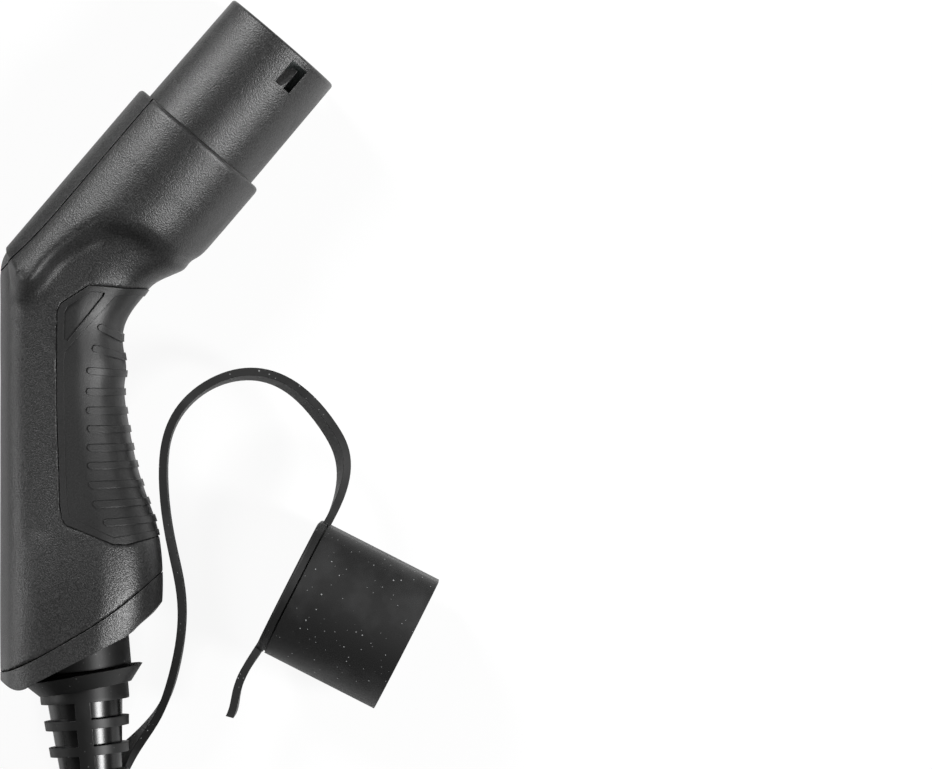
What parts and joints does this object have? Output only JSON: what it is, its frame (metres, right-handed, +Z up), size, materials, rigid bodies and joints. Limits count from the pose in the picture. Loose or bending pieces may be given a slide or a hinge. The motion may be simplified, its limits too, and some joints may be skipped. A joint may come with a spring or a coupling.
{
  "type": "ev charging cable",
  "caption": "Charging cable with a D-nosed, bent-grip connector, a strap-held dust cap, a coiled lead and a matching plug with bare pins.",
  "frame": {"origin": "mouth of the middle (earth) socket contact, 4.5 mm inside the rim of the connector's nose", "axes": "+X out of the nose along the contacts, +Y towards the flat side of the nose's D, +Z up, square to the plane in which the grip bends; the part lies on its side"},
  "size_m": [0.5282, 0.4465, 0.0627],
  "materials": {
    "housing_plastic": "fine moulded grain",
    "pad_rubber": "soft overlay, satin",
    "cap_rubber": "matt rubber with dust",
    "sleeve_rubber": "matt moulded rubber",
    "core_plastic": "glossy black",
    "insert_plastic": "granular grey",
    "plate_plastic": "glossy black",
    "contact_metal": "plated, turned",
    "wire_insulation": "extruded",
    "cable_jacket": "smooth jacket",
    "screw_steel": "plated",
    "tie_fabric": "hook and loop"
  },
  "bodies": {
    "cable": {"grip_housing": "housing_plastic", "top_cover": "housing_plastic", "end_cap": "housing_plastic", "nose_shell": "housing_plastic", "grip_pad": "pad_rubber", "face_plate": "plate_plastic", "contact_insert": "insert_plastic", "contact_sleeves": "insert_plastic", "contact_retainer": "plate_plastic", "contact_earth": "contact_metal", "wire_earth": "wire_insulation", "plug_pin_earth": "contact_metal", "contact_neutral": "contact_metal", "wire_neutral": "wire_insulation", "plug_pin_neutral": "contact_metal", "contact_phase_one": "contact_metal", "wire_phase_one": "wire_insulation", "plug_pin_phase_one": "contact_metal", "contact_phase_two": "contact_metal", "wire_phase_two": "wire_insulation", "plug_pin_phase_two": "contact_metal", "contact_phase_three": "contact_metal", "wire_phase_three": "wire_insulation", "plug_pin_phase_three": "contact_metal", "contact_pilot": "contact_metal", "wire_pilot": "wire_insulation", "plug_pin_pilot": "contact_metal", "contact_proximity": "contact_metal", "wire_proximity": "wire_insulation", "plug_pin_proximity": "contact_metal", "bend_sleeve": "sleeve_rubber", "bend_core": "core_plastic", "neck_cuff": "sleeve_rubber", "cable_end": "cable_jacket", "plug_bend_sleeve": "sleeve_rubber", "plug_bend_core": "core_plastic", "plug_neck_cuff": "sleeve_rubber", "plug_cable_end": "cable_jacket", "clamp_upper": "plate_plastic", "clamp_lower": "plate_plastic", "clamp_screws": "screw_steel", "cable_grommet": "sleeve_rubber", "cable_lead": "cable_jacket", "cable_coil": "cable_jacket", "cable_tail": "cable_jacket", "coil_tie": "tie_fabric", "plug_grip_housing": "housing_plastic", "plug_top_cover": "housing_plastic", "plug_end_cap": "housing_plastic", "plug_grip_pad": "pad_rubber", "plug_nose": "housing_plastic", "plug_pin_carrier": "plate_plastic"},
    "tether": {"dust_cap": "cap_rubber"}
  },
  "joints": [
    {"name": "tether_swivel", "type": "hinge", "parent": "cable", "child": "tether", "pos_m": [-0.25621, -0.13088, 0], "axis": [-0.7022, -0.712, 0], "continuous": true}
  ]
}
